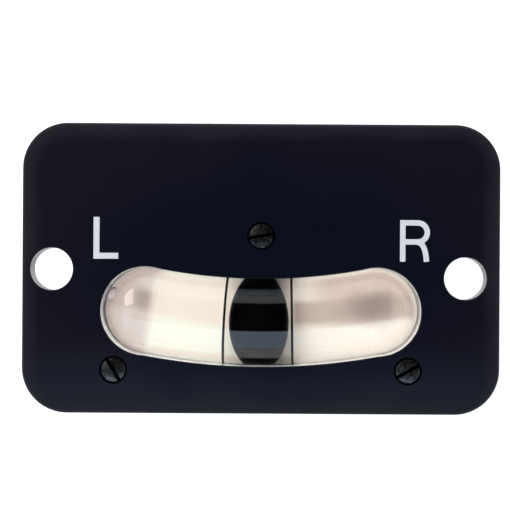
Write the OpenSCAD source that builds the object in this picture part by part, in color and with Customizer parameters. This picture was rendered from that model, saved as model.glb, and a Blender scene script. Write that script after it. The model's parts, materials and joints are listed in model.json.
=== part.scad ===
// Slip indicator: a ball in a curved, liquid-filled glass tube behind a panel plate.
// Every sub-part is drawn lying on its back: X to the right, Y up the face, Z towards the
// viewer, with Z = 0 on the rear face of the front plate. The module upright() then stands
// it up, so that the face looks along -Y and +Z is up.

/* [Front plate] */
// Width of the plate
plate_w = 56; // [52:0.5:70]
// Height of the plate
plate_h = 34; // [32:0.5:44]
// Thickness of the plate
plate_t = 2.5; // [2.3:0.1:4]
// Radius of the plate's corners
plate_corner_r = 5.3; // [2:0.1:8]
// Bevel round the plate's front edge
plate_bevel = 0.3; // [0.1:0.05:0.5]
// Bevel round the window, the mounting holes and the screw recesses
edge_bevel = 0.15; // [0.05:0.05:0.3]

/* [Mounting holes] */
// Diameter of the two mounting holes
mount_hole_d = 5; // [3.5:0.1:5.6]
// Distance between the mounting holes, measured along the plate
mount_span = 48.5; // [48:0.1:49]
// How much lower the right hole sits than the left one
mount_drop = 0.87; // [0:0.01:1.5]
// Sideways offset of the pair from the middle of the plate
mount_shift_x = -0.3; // [-0.5:0.05:0.3]
// Height of the pair's middle over the middle of the plate
mount_mid_y = -0.58; // [-1.5:0.01:1]

/* [Tube] */
// Radius of the arc that the tube's centre line follows
arc_r = 70; // [60:1:90]
// Height of the arc's lowest point over the middle of the plate
arc_low_y = -6.33; // [-7:0.01:-5.8]
// Half the angle between the centres of the tube's round ends
arc_half = 11.2; // [10:0.1:11.6]
// Wall of the glass tube
glass_wall = 1.75; // [1.35:0.05:2]
// Gap between the tube and its soft or sealing neighbours
seat_gap = 0.02; // [0.01:0.01:0.04]
// How far the window's edge reaches in over the side of the tube
window_lap = 0.35; // [0.2:0.05:0.6]

/* [Ball and liquid] */
// Diameter of the ball
ball_d = 7.2; // [6.4:0.02:7.5]
// Gap between the ball and the bore, all round
ball_gap = 0.15; // [0.12:0.01:0.3]
// Direction of the ball from the arc's centre, away from straight down
ball_angle = -0.25; // [-9:0.05:9]
// Gap drawn between the liquid and the glass
film_gap = 0.02; // [0.01:0.01:0.04]
// Gap drawn between the liquid and the ball
ball_film_gap = 0.04; // [0.02:0.01:0.06]

/* [Fill plug] */
// Diameter of the plug that closes the filling hole
fill_plug_d = 1.2; // [0.8:0.1:1.6]
// How far the plug reaches into the bore
fill_plug_reach = 0.9; // [0.4:0.1:1.2]
// Height of the plug over the tube's centre line
fill_plug_rise = 0.55; // [0:0.05:0.8]

/* [Marker wires] */
// Thickness of the marker wires, which wrap round the front of the tube
marker_wire_d = 0.3; // [0.2:0.05:0.4]
// Distance from the tube's lowest point to the left wire
marker_left_x = 4.3; // [3.8:0.05:6]
// Distance from the tube's lowest point to the right wire
marker_right_x = 3.65; // [3.6:0.05:6]
// Lean of the left wire from the upright
marker_left_lean = 2.9; // [0:0.1:4]
// Lean of the right wire from the upright
marker_right_lean = 1.0; // [0:0.1:4]
// Half the angle that the wires wrap round the tube
marker_wrap = 100; // [85:1:115]
// Gap between the wires and the window's edge
marker_window_gap = 0.05; // [0.03:0.01:0.1]
// Gap between the wires and the gasket
marker_gasket_gap = 0.05; // [0.03:0.01:0.1]
// Gap between the wires and the side of the housing's chamber
marker_side_gap = 0.13; // [0.08:0.01:0.2]

/* [Reflector and cushions] */
// Gap between the marker wires and the reflector
reflector_gap = 0.05; // [0.03:0.01:0.1]
// Thickness of the reflector sheet
reflector_t = 0.35; // [0.25:0.05:0.5]
// Half the angle that the reflector wraps round the back of the tube
reflector_wrap = 60; // [45:1:66]

/* [Rear housing] */
// Gap between the reflector and the housing
chamber_gap = 0.08; // [0.04:0.01:0.15]
// Side wall of the housing
housing_wall = 1.35; // [1:0.05:1.5]
// Rear wall of the housing
housing_floor = 1.4; // [1.2:0.05:2]
// Radius of the housing's rear edge
housing_edge_r = 2.2; // [1:0.1:2.6]
// Width of the flange beyond the side wall
flange_lap = 0.7; // [0.4:0.05:0.8]
// Width of the flange beyond the screw bosses
ear_lap = 0.5; // [0.3:0.05:0.6]
// Thickness of the flange
flange_t = 1.3; // [1:0.1:2]
// Depth of the recess in the plate that the flange sits in
seat_depth = 0.3; // [0.2:0.05:0.4]
// Gap between the flange and the edge of that recess
seat_side_gap = 0.1; // [0.05:0.01:0.2]
// Depth of the blank label recess in the rear face
label_depth = 0.25; // [0.1:0.05:0.4]
// Length of the label recess
label_w = 17; // [10:0.5:20]
// Height of the label recess
label_h = 6; // [4:0.5:7]
// Diameter of the round moulding marks on the rear face
pip_d = 1.6; // [1:0.1:2]
// Depth of the moulding marks
pip_depth = 0.12; // [0.05:0.01:0.2]

/* [Screws] */
// Thread diameter of the case screws
screw_d = 1.6; // [1.4:0.1:1.8]
// Length of the screws below the head
screw_len = 4; // [3.5:0.1:5]
// Diameter of the screw heads
head_d = 3; // [2.8:0.1:3.2]
// Height of the screw heads
head_h = 1; // [0.8:0.05:1.1]
// Width of the screwdriver slot
slot_w = 0.4; // [0.3:0.05:0.5]
// Depth of the screwdriver slot
slot_depth = 0.45; // [0.3:0.05:0.5]
// How far the heads lie below the face
head_sink = 0.1; // [0:0.05:0.2]
// Gap round a screw head in its recess
head_gap = 0.15; // [0.1:0.05:0.25]
// Thickness of the spring washers
washer_t = 0.4; // [0.3:0.05:0.5]
// Turn of the slots from level: top, lower left, lower right
slot_turn = [10, -59, 30];
// Direction of the lower screws, seen from the arc's centre, away from straight down
low_screw_angle = 12.86; // [12.4:0.02:13.2]
// Plastic between the tube chamber and the lower inserts
low_insert_wall = 0.33; // [0.25:0.01:0.5]
// Plastic between the tube chamber and the top insert
top_insert_wall = 2.98; // [2:0.02:3.4]

/* [Thread inserts] */
// Outer diameter of the brass inserts
insert_d = 2.5; // [2.3:0.1:2.7]
// Length of the brass inserts
insert_len = 2.6; // [2:0.1:3]
// Plastic round the inserts
boss_wall = 1.25; // [1:0.05:1.4]
// Plastic behind the screws' tips
boss_floor = 1; // [0.6:0.1:1.5]
// Free depth between a screw's tip and that plastic
tip_room = 0.5; // [0.3:0.1:0.8]
// How far the inserts lie below the face of their boss
insert_sink = 0.1; // [0:0.05:0.2]
// Depth and width of the grooves round the inserts
groove_size = 0.12; // [0.08:0.01:0.16]
// Number of grooves round each insert
groove_count = 12; // [8:1:16]

/* [Hidden] */
$fn = 96;

// a cut runs this far past the face that it opens
past = 1;
// gap between a screw's thread and the insert's bore
thread_gap = 0.02;
// gap between a screw's thread and the holes that it passes through
shank_gap = 0.1;
// width of the chamfers on a screw's head and tip
screw_chamfer = 0.12;
// the round ends of the tube and of what surrounds it are this much fuller than the arc
end_bead = 0.06;

// Tube: radii across it, and how deep behind the plate its centre line lies. At that depth the
// marker wires just pass the plate's rear corner of the window.
bore_r = ball_d / 2 + ball_gap;
tube_r = bore_r + glass_wall;
window_half = tube_r - window_lap;
marker_r = tube_r + seat_gap + marker_wire_d / 2;
marker_out_r = marker_r + marker_wire_d / 2;
tube_depth = sqrt(pow(marker_out_r, 2) - pow(window_half - marker_window_gap, 2));
arc_centre_y = arc_low_y + arc_r;

// Reflector, cushions and the chamber that they lie in
reflector_in_r = marker_out_r + reflector_gap;
reflector_out_r = reflector_in_r + reflector_t;
chamber_r = reflector_out_r + chamber_gap;
chamber_half = marker_out_r + marker_side_gap;
gasket_half = chamber_half - seat_gap;
cushion_in_r = tube_r + seat_gap;
cushion_out_r = chamber_r - seat_gap;

// Housing
housing_half = chamber_half + housing_wall;
housing_back = -tube_depth - chamber_r - housing_floor;
flange_half = housing_half + flange_lap;
boss_r = insert_d / 2 + boss_wall;
ear_r = boss_r + ear_lap;

// Screws stand on circles round the arc's centre, clear of the tube chamber
head_top = plate_t - head_sink;
head_base = head_top - head_h;
washer_base = head_base - washer_t;
screw_tip = head_base - screw_len;
boss_hole_end = screw_tip - tip_room;
boss_back = boss_hole_end - boss_floor;
insert_top = seat_depth - insert_sink;
recess_r = head_d / 2 + head_gap;
screw_hole_r = screw_d / 2 + shank_gap;
top_screw_r = arc_r - chamber_half - top_insert_wall - insert_d / 2;
low_screw_r = arc_r + chamber_half + low_insert_wall + insert_d / 2;
screw_places = [
    on_arc(top_screw_r, 0), on_arc(low_screw_r, -low_screw_angle), on_arc(low_screw_r, low_screw_angle)
];

// Mounting holes, left and right
mount_places = [
    [mount_shift_x - mount_span / 2, mount_mid_y + mount_drop / 2],
    [mount_shift_x + mount_span / 2, mount_mid_y - mount_drop / 2]
];

// The fill plug runs along the tube at its left end
fill_plug_r = fill_plug_d / 2;
fill_plug_in = sqrt(pow(bore_r, 2) - pow(fill_plug_rise, 2)) - fill_plug_reach;
fill_plug_out = sqrt(pow(tube_r, 2) - pow(fill_plug_rise + fill_plug_r, 2));

// Point at a radius from the arc's centre, at an angle from straight down
function on_arc(r, a) = [r * sin(a), arc_centre_y - r * cos(a)];

// Stands the instrument up: the face looks along -Y and the top points to +Z
module upright() {
    rotate([90, 0, 0]) children();
}

// Sweeps a symmetrical section (X across the tube, Y towards the viewer) along the arc. The
// second child is the same section for the round ends, a touch fuller.
module along_tube() {
    along_arc() children(0);
    for (side = [-1, 1]) round_end(side) children(1);
}

// The stretch of the sweep between the two end centres
module along_arc() {
    translate([0, arc_centre_y, 0]) rotate([0, 0, -90 - arc_half])
        rotate_extrude(angle = 2 * arc_half, $fn = 360) translate([arc_r, 0]) children();
}

// A full turn of the section round the end centre, on the left (-1) or the right (+1)
module round_end(side) {
    at_end(side) rotate_extrude() right_half() children();
}

// A solid rod with round ends that follows the tube
module tube_rod(r) {
    translate([0, 0, -tube_depth]) along_tube() {
        circle(r = r);
        circle(r = r + end_bead);
    }
}

// Places things at an end centre, with X pointing out along the tube
module at_end(side) {
    translate(on_arc(arc_r, side * arc_half)) rotate([0, 0, side > 0 ? arc_half : 180 - arc_half])
        children();
}

// Keeps the part of a section that lies to the right of the axis
module right_half() {
    intersection() {
        children();
        translate([0, -arc_r]) square([arc_r, 2 * arc_r]);
    }
}

// Outline of the whole sweep, seen from the front, for a band of the given half width
module band_outline(half) {
    intersection() {
        translate([0, arc_centre_y]) difference() {
            circle(r = arc_r + half, $fn = 360);
            circle(r = arc_r - half, $fn = 360);
        }
        polygon([
            [0, arc_centre_y],
            on_arc(2 * arc_r, -arc_half),
            [0, arc_centre_y - 3 * arc_r],
            on_arc(2 * arc_r, arc_half)
        ]);
    }
    for (side = [-1, 1]) translate(on_arc(arc_r, side * arc_half)) circle(r = half);
}

// Outline of the flange, or of its recess in the plate with a gap round it
module flange_outline(gap) {
    band_outline(flange_half + gap);
    for (place = screw_places) translate(place) circle(r = ear_r + gap);
    translate([screw_places[0][0] - ear_r - gap, arc_low_y])
        square([2 * (ear_r + gap), screw_places[0][1] - arc_low_y]);
}

// A slab with round corners
module round_slab(w, h, t, r) {
    linear_extrude(t) {
        square([w - 2 * r, h], center = true);
        square([w, h - 2 * r], center = true);
        for (sx = [-1, 1], sy = [-1, 1]) translate([sx * (w / 2 - r), sy * (h / 2 - r)]) circle(r = r);
    }
}

// A hole through the plate, bevelled at the front
module plate_hole(r) {
    translate([0, 0, -past]) cylinder(r = r, h = plate_t + 2 * past);
    translate([0, 0, plate_t - edge_bevel])
        cylinder(r1 = r, r2 = r + edge_bevel + past, h = edge_bevel + past);
}

module front_plate() {
    color("#17171d") upright() difference() {
        hull() {
            round_slab(plate_w, plate_h, plate_t - plate_bevel, plate_corner_r);
            round_slab(plate_w - 2 * plate_bevel, plate_h - 2 * plate_bevel, plate_t,
                plate_corner_r - plate_bevel);
        }
        along_tube() {
            window_section(window_half);
            window_section(window_half + end_bead);
        }
        for (place = mount_places) translate(place) plate_hole(mount_hole_d / 2);
        for (place = screw_places) translate(place) {
            plate_hole(screw_hole_r);
            translate([0, 0, washer_base]) cylinder(r = recess_r, h = plate_t);
        }
        translate([0, 0, -past]) linear_extrude(past + seat_depth) flange_outline(seat_side_gap);
    }
}

// The window's section: straight sides with a bevel at the front
module window_section(half) {
    polygon([
        [-half, -past],
        [half, -past],
        [half, plate_t - edge_bevel],
        [half + edge_bevel + past, plate_t + past],
        [-half - edge_bevel - past, plate_t + past],
        [-half, plate_t - edge_bevel]
    ]);
}

module rear_housing() {
    color("#1b1b1f") upright() difference() {
        union() {
            along_tube() {
                housing_section(housing_half);
                housing_section(housing_half + end_bead);
            }
            translate([0, 0, seat_depth - flange_t]) linear_extrude(flange_t) flange_outline(0);
            for (place = screw_places)
                translate([place[0], place[1], boss_back]) cylinder(r = boss_r, h = seat_depth - boss_back);
            top_boss_web();
        }
        along_tube() {
            chamber_section(chamber_half, chamber_r);
            chamber_section(chamber_half + end_bead, chamber_r + end_bead);
        }
        for (place = screw_places) translate(place) {
            translate([0, 0, insert_top - insert_len]) cylinder(d = insert_d, h = insert_len + past);
            translate([0, 0, boss_hole_end]) cylinder(r = screw_hole_r, h = screw_len);
        }
        label_recess();
        for (side = [-1, 1]) at_end(side)
            translate([0, 0, housing_back - past]) cylinder(d = pip_d, h = past + pip_depth);
    }
}

// Outside of the housing: square to the flange, rounded at the rear edges
module housing_section(half) {
    translate([-half, housing_back + housing_edge_r])
        square([2 * half, seat_depth - housing_back - housing_edge_r]);
    translate([-half + housing_edge_r, housing_back])
        square([2 * (half - housing_edge_r), housing_edge_r + past]);
    for (side = [-1, 1])
        translate([side * (half - housing_edge_r), housing_back + housing_edge_r])
            circle(r = housing_edge_r);
}

// Inside of the housing: straight sides, and a round floor behind the reflector
module chamber_section(half, r) {
    intersection() {
        union() {
            translate([0, -tube_depth]) circle(r = r);
            translate([-half, -tube_depth]) square([2 * half, tube_depth + plate_t]);
        }
        square([2 * half, 4 * r], center = true);
    }
}

// Rib that ties the top boss to the side of the housing
module top_boss_web() {
    translate([screw_places[0][0] - boss_r, arc_low_y + chamber_half + housing_wall / 2, boss_back])
        cube([2 * boss_r, screw_places[0][1] - arc_low_y - chamber_half - housing_wall / 2,
            seat_depth - boss_back]);
}

// Shallow blank field in the rear face, with round ends
module label_recess() {
    translate([0, arc_low_y, housing_back - past]) linear_extrude(past + label_depth) {
        square([label_w - label_h, label_h], center = true);
        for (side = [-1, 1]) translate([side * (label_w - label_h) / 2, 0]) circle(d = label_h);
    }
}

module window_gasket() {
    color("#b4aea8") upright() difference() {
        along_tube() {
            gasket_section(gasket_half);
            gasket_section(gasket_half + end_bead);
        }
        along_tube() {
            gasket_bore_section(window_half);
            gasket_bore_section(window_half + end_bead);
        }
        tube_rod(tube_r + seat_gap);
        marker_hoop(-1, marker_left_x, marker_left_lean, marker_wire_d / 2 + marker_gasket_gap);
        marker_hoop(1, marker_right_x, marker_right_lean, marker_wire_d / 2 + marker_gasket_gap);
    }
}

// A ring of rubber on each side of the tube, from the plate back to the tube's shoulder
module gasket_section(half) {
    shoulder = -tube_depth + sqrt(pow(tube_r, 2) - pow(window_half, 2));
    translate([-half, shoulder]) square([2 * half, seat_depth - shoulder]);
}

// The gasket's opening, in line with the window
module gasket_bore_section(half) {
    square([2 * half, 4 * tube_r], center = true);
}

module glass_tube() {
    color("#dfeaec", 0.45) upright() difference() {
        tube_rod(tube_r);
        tube_rod(bore_r);
        fill_plug_rod(fill_plug_r + film_gap, fill_plug_in, tube_r + past);
    }
}

// A rod along the tube's left end, between two distances from the end centre
module fill_plug_rod(r, from, to) {
    at_end(-1) translate([from, -fill_plug_rise, -tube_depth]) rotate([0, 90, 0])
        cylinder(r = r, h = to - from, $fn = 48);
}

module fill_plug() {
    color("#eadfd2") upright() fill_plug_rod(fill_plug_r, fill_plug_in, fill_plug_out);
}

module damping_fluid() {
    color("#f4efe0", 0.4) upright() difference() {
        tube_rod(bore_r - film_gap);
        ball_solid(ball_d / 2 + ball_film_gap);
        fill_plug_rod(fill_plug_r + film_gap, fill_plug_in - film_gap, tube_r);
    }
}

// A sphere on the centre line of the tube, where the ball rests
module ball_solid(r) {
    rest = on_arc(arc_r, ball_angle);
    translate([rest[0], rest[1], -tube_depth]) sphere(r = r);
}

module ball() {
    color("#0c0c10") upright() ball_solid(ball_d / 2);
}

// A wire hoop over the front of the tube, at a distance from the lowest point, with a lean
module marker_hoop(side, x, lean, wire_r) {
    centre = on_arc(arc_r, side * asin(x / arc_r));
    translate([centre[0], centre[1], -tube_depth]) rotate([0, 90, side * lean])
        rotate([0, 0, 180 - marker_wrap]) rotate_extrude(angle = 2 * marker_wrap)
            translate([marker_r, 0]) circle(r = wire_r, $fn = 24);
}

module marker_wire_left() {
    color("#101014") upright() marker_hoop(-1, marker_left_x, marker_left_lean, marker_wire_d / 2);
}

module marker_wire_right() {
    color("#101014") upright() marker_hoop(1, marker_right_x, marker_right_lean, marker_wire_d / 2);
}

// Part of a ring behind the tube, wrapping it by an angle to each side of straight back
module back_wrap(in_r, out_r, wrap) {
    translate([0, -tube_depth]) intersection() {
        difference() {
            circle(r = out_r);
            circle(r = in_r);
        }
        polygon([
            [0, 0],
            2 * out_r * [-sin(wrap), -cos(wrap)],
            [0, -4 * out_r],
            2 * out_r * [sin(wrap), -cos(wrap)]
        ]);
    }
}

module reflector() {
    color("#f7f2e6") upright() along_arc() back_wrap(reflector_in_r, reflector_out_r, reflector_wrap);
}

// A soft cup between the tube's round end and the chamber's floor
module tube_cushion(side) {
    color("#cfc4bb") upright() at_end(side) rotate([0, 0, -90])
        rotate_extrude(angle = 180) right_half()
            back_wrap(cushion_in_r + end_bead, cushion_out_r, reflector_wrap);
}

module tube_cushion_left() {
    tube_cushion(-1);
}

module tube_cushion_right() {
    tube_cushion(1);
}

// Cheese-head screw with a chamfered head and tip and one slot across the head
module case_screw(i) {
    shank_r = screw_d / 2 - thread_gap;
    color("#3c3c42") upright() translate(screw_places[i]) rotate([0, 0, slot_turn[i]]) difference() {
        rotate_extrude() polygon([
            [0, screw_tip],
            [shank_r - screw_chamfer, screw_tip],
            [shank_r, screw_tip + screw_chamfer],
            [shank_r, head_base],
            [head_d / 2, head_base],
            [head_d / 2, head_top - screw_chamfer],
            [head_d / 2 - screw_chamfer, head_top],
            [0, head_top]
        ]);
        translate([-head_d, -slot_w / 2, head_top - slot_depth]) cube([2 * head_d, slot_w, past]);
    }
}

module case_screw_top() {
    case_screw(0);
}

module case_screw_left() {
    case_screw(1);
}

module case_screw_right() {
    case_screw(2);
}

// Split spring washer under a screw head
module lock_washer(i) {
    color("#8c8c90") upright() translate([screw_places[i][0], screw_places[i][1], washer_base])
        rotate([0, 0, slot_turn[i] + 45]) difference() {
            cylinder(d = head_d, h = washer_t);
            translate([0, 0, -past]) cylinder(r = screw_hole_r, h = washer_t + 2 * past);
            translate([0, -slot_w / 2, -past]) cube([head_d, slot_w, washer_t + 2 * past]);
        }
}

module lock_washer_top() {
    lock_washer(0);
}

module lock_washer_left() {
    lock_washer(1);
}

module lock_washer_right() {
    lock_washer(2);
}

// Brass insert with a threaded bore and grooves round it that grip the plastic
module thread_insert(i) {
    color("#b08a3c") upright() translate([screw_places[i][0], screw_places[i][1], insert_top - insert_len])
        difference() {
            cylinder(d = insert_d, h = insert_len);
            translate([0, 0, -past]) cylinder(d = screw_d, h = insert_len + 2 * past);
            for (k = [0 : groove_count - 1]) rotate([0, 0, k * 360 / groove_count])
                translate([insert_d / 2 - groove_size, -groove_size / 2, -past])
                    cube([past, groove_size, insert_len + 2 * past]);
        }
}

module thread_insert_top() {
    thread_insert(0);
}

module thread_insert_left() {
    thread_insert(1);
}

module thread_insert_right() {
    thread_insert(2);
}

front_plate();
rear_housing();
window_gasket();
glass_tube();
fill_plug();
damping_fluid();
ball();
marker_wire_left();
marker_wire_right();
reflector();
tube_cushion_left();
tube_cushion_right();
case_screw_top();
case_screw_left();
case_screw_right();
lock_washer_top();
lock_washer_left();
lock_washer_right();
thread_insert_top();
thread_insert_left();
thread_insert_right();
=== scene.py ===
import json
import math
import bpy
import numpy as np
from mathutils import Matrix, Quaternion, Vector


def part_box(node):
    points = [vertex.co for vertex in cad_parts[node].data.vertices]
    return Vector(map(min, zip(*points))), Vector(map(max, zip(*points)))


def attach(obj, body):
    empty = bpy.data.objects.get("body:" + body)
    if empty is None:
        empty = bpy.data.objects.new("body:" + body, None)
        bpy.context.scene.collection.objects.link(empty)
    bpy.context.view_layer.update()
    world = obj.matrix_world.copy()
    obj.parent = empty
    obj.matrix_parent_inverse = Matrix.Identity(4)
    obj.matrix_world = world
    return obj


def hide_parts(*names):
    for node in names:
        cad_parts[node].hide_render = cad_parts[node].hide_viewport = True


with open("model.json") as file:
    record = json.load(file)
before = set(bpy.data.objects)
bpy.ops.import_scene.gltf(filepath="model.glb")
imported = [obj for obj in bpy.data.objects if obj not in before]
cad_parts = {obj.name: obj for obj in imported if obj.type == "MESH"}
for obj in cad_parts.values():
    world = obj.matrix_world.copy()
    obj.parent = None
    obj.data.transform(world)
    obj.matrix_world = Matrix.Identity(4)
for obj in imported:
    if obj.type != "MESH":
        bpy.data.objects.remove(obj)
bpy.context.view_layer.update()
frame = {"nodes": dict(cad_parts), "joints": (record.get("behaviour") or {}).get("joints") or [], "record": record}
nodes = frame["nodes"]
mm = 0.001
print("frame loaded:", len(nodes), "nodes")

# The tube's centre line is an arc about the hinge that the ball rolls on, so most places
# below are an angle on that arc, measured from straight down.
ballLow, ballHigh = (np.array(corner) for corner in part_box("ball"))
tubeLow, tubeHigh = (np.array(corner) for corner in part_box("glass_tube"))
plateLow, plateHigh = (np.array(corner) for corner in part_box("front_plate"))
arcCentre = np.array(frame["joints"][0]["pos_m"])
arcRadius = np.linalg.norm((ballLow + ballHigh) / 2 - arcCentre)
endBead = 0.06 * mm      # the tube's round ends are this much fuller than its arc
tubeRadius = (tubeHigh[1] - tubeLow[1]) / 2 - endBead
halfAngle = math.asin((tubeHigh[0] - tubeRadius - endBead) / arcRadius)
backward = np.array([0.0, 1.0, 0.0])   # into the panel
plateFace = plateLow[1]


# Nodes and materials. A span is the two values between which something begins and is
# complete. A pattern is a dictionary of what noiseOn and patchesOn take.

socketNames = {
    "color": "Base Color", "metal": "Metallic", "rough": "Roughness", "ior": "IOR",
    "clear": "Transmission Weight", "specular": "Specular IOR Level", "tint": "Specular Tint",
    "coat": "Coat Weight", "coatRough": "Coat Roughness", "anisotropic": "Anisotropic",
}
noiseSpan = (0.3, 0.7)   # a noise value seldom leaves this


def addNode(tree, kind, inputs=(), **settings):
    made = tree.nodes.new("ShaderNode" + kind)
    for name, value in settings.items():
        setattr(made, name, value)
    for key, value in dict(inputs).items():
        if isinstance(value, bpy.types.NodeSocket):
            tree.links.new(value, made.inputs[key])
        else:
            made.inputs[key].default_value = value
    return made


def newFinish(name, **sockets):
    # a material with one Principled shader, whose even values sit on its own sockets
    material = bpy.data.materials.new(name)
    material.use_nodes = True
    shader = material.node_tree.nodes["Principled BSDF"]
    for key, value in sockets.items():
        shader.inputs[socketNames[key]].default_value = value
    return material, material.node_tree, shader


def feed(tree, shader, key, source):
    tree.links.new(source, shader.inputs[socketNames[key]])


def setSurface(tree, made):
    tree.links.new(made.outputs[0], tree.nodes["Material Output"].inputs["Surface"])


def combine(tree, operation, first, second=0.0):
    return addNode(tree, "Math", {0: first, 1: second}, operation=operation).outputs[0]


def vectorMath(tree, operation, first, second=(0, 0, 0)):
    return addNode(tree, "VectorMath", {0: first, 1: tuple(second)},
                   operation=operation).outputs[0]


def lengthOf(tree, vector):
    return addNode(tree, "VectorMath", {0: vector}, operation="LENGTH").outputs["Value"]


def apart(tree, vector):
    return addNode(tree, "SeparateXYZ", {0: vector}).outputs


def onFace(tree, point):
    # a point without its depth, as seen square on to the plate
    return vectorMath(tree, "MULTIPLY", point, (1, 0, 1))


def pointOn(tree, centre=(0, 0, 0), turn=(0, 0, 0), stretch=(1, 1, 1)):
    # object coordinates with centre moved to the origin, turned and stretched
    coords = addNode(tree, "TexCoord").outputs["Object"]
    moved = vectorMath(tree, "ADD", coords, [-c for c in centre])
    return addNode(tree, "Mapping", {0: moved, 2: turn, 3: stretch}).outputs[0]


def noiseOn(tree, point, size, detail=3.0, rough=0.55, warp=0.0):
    # size is the width of one blotch in metres
    return addNode(tree, "TexNoise", {"Vector": point, "Scale": 1 / size, "Detail": detail,
                                      "Roughness": rough, "Distortion": warp}).outputs[0]


def remap(tree, value, low, high, outLow=0.0, outHigh=1.0, smooth=False):
    kind = "SMOOTHSTEP" if smooth else "LINEAR"
    return addNode(tree, "MapRange", {0: value, 1: low, 2: high, 3: outLow, 4: outHigh},
                   interpolation_type=kind).outputs[0]


def spread(tree, noise, low=0.0, high=1.0):
    # a noise value stretched to run from low to high
    return remap(tree, noise, *noiseSpan, low, high)


def patchesOn(tree, point, low=0.0, high=1.0, span=noiseSpan, **shape):
    # patches of noise, low outside them and high inside
    return remap(tree, noiseOn(tree, point, **shape), *span, low, high)


def mixValue(tree, share, first, second):
    return addNode(tree, "Mix", {0: share, 2: first, 3: second}, data_type="FLOAT").outputs[0]


def between(tree, share, first, second):
    # colour mix: first where share is 0, second where it is 1
    first, second = (color if isinstance(color, bpy.types.NodeSocket) else (*color, 1)
                     for color in (first, second))
    return addNode(tree, "Mix", {0: share, 6: first, 7: second}, data_type="RGBA").outputs[2]


def addBump(tree, shader, height, depth):
    made = addNode(tree, "Bump", {"Height": height, "Distance": depth})
    tree.links.new(made.outputs[0], shader.inputs["Normal"])


def addGrain(tree, shader, point, spec):
    addBump(tree, shader, noiseOn(tree, point, **spec["grain"]), spec["grainDepth"])


def mottledFinish(name, spec):
    # one colour mottled with another, with a roughness that follows, and a fine grain
    material, tree, shader = newFinish(name, **spec["even"])
    point = pointOn(tree)
    mottle = noiseOn(tree, point, **spec["mottle"])
    share = remap(tree, mottle, *spec["colorSpan"])
    feed(tree, shader, "color", between(tree, share, spec["color"], spec["mottled"]))
    feed(tree, shader, "rough", remap(tree, mottle, *spec["roughSpan"], *spec["rough"]))
    addGrain(tree, shader, point, spec)
    return material


def heightOver(tree, point):
    # how far a point lies above the tube's centre line, towards the arc's centre
    fromCentre = onFace(tree, vectorMath(tree, "SUBTRACT", point, arcCentre))
    return combine(tree, "SUBTRACT", float(arcRadius), lengthOf(tree, fromCentre))


def inMirrorsAndGlass(tree, path):
    return combine(tree, "MAXIMUM", path["Is Glossy Ray"], path["Is Transmission Ray"])


def letLampsThrough(tree, shader):
    # clear glass casts no shadow: rays to lamps and soft light pass it straight
    path = addNode(tree, "LightPath").outputs
    passing = combine(tree, "MAXIMUM", path["Is Shadow Ray"], path["Is Diffuse Ray"])
    nothing = addNode(tree, "BsdfTransparent")
    setSurface(tree, addNode(tree, "MixShader", {0: passing, 1: shader.outputs[0],
                                                 2: nothing.outputs[0]}))


# Meshes

def ringQuads(count, sides):
    # the points' numbers, ring by ring, and the faces that join each ring to the next
    index = np.arange(count * sides).reshape(count, sides)
    side = np.roll(index, -1, axis=1)
    quads = np.stack([index[:-1], side[:-1], side[1:], index[1:]], axis=-1)
    return index, quads.reshape(-1, 4)


def loft(rings, tips, material=0, inward=False):
    # rings of points joined by faces, and a fan that closes each end at its tip
    index, quads = ringQuads(*rings.shape[:2])
    points = np.vstack([rings.reshape(-1, 3), tips])
    tip = np.full(rings.shape[1], index.size)
    fans = np.vstack([np.stack([np.roll(index[0], -1), index[0], tip], axis=-1),
                      np.stack([index[-1], np.roll(index[-1], -1), tip + 1], axis=-1)])
    return faceOut(points, quads, fans, material, inward)


def faceOut(points, quads, fans, material=0, inward=False):
    # the signed volume inside the faces says which way they look
    middle = points.mean(axis=0)
    halves = np.vstack([quads[:, [0, 1, 2]], quads[:, [0, 2, 3]], fans])
    a, b, c = (points[halves[:, k]] - middle for k in range(3))
    volume = np.einsum("ij,ij->i", a, np.cross(b, c)).sum()
    if (volume < 0) != inward:
        quads, fans = quads[:, ::-1], fans[:, ::-1]
    return {"points": points, "quads": quads, "fans": fans, "material": material}


def pad(front, back):
    # A closed sheet: each row runs over the front and returns over the back, and strips
    # close the first and last rows.
    rings = np.concatenate([front, back[:, ::-1]], axis=1)
    index, walls = ringQuads(*rings.shape[:2])
    here = np.arange(front.shape[1] - 1)
    there = rings.shape[1] - 1 - here       # the same columns on the back
    first, last = index[0], index[-1]
    start = np.stack([first[here + 1], first[here], first[there], first[there - 1]], axis=-1)
    end = np.stack([last[here], last[here + 1], last[there - 1], last[there]], axis=-1)
    return faceOut(rings.reshape(-1, 3), np.vstack([walls, start, end]), np.zeros((0, 3), int))


def makePiece(name, solids, finishes, replaced=(), body="root", smooth=True):
    faces, kinds, start = [], [], 0
    for solid in solids:
        made = (solid["quads"] + start).tolist() + (solid["fans"] + start).tolist()
        faces += made
        kinds += [solid["material"]] * len(made)
        start += len(solid["points"])
    mesh = bpy.data.meshes.new(name)
    mesh.from_pydata(np.vstack([solid["points"] for solid in solids]).tolist(), [], faces)
    mesh.polygons.foreach_set("use_smooth", [smooth] * len(faces))
    mesh.polygons.foreach_set("material_index", kinds)
    mesh.update()
    piece = bpy.data.objects.new(name, mesh)
    bpy.context.scene.collection.objects.link(piece)
    for finish in finishes:
        mesh.materials.append(finish)
    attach(piece, body)
    if replaced:
        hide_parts(*replaced)
    return piece


def directions(angle):
    # away from the arc's centre, and along the tube to the right, at an angle of the arc
    angle = np.asarray(angle, float)
    level = np.zeros_like(angle)
    outward = np.stack([np.sin(angle), level, -np.cos(angle)], axis=-1)
    along = np.stack([np.cos(angle), level, np.sin(angle)], axis=-1)
    return outward, along


# The plate's lacquer

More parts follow.
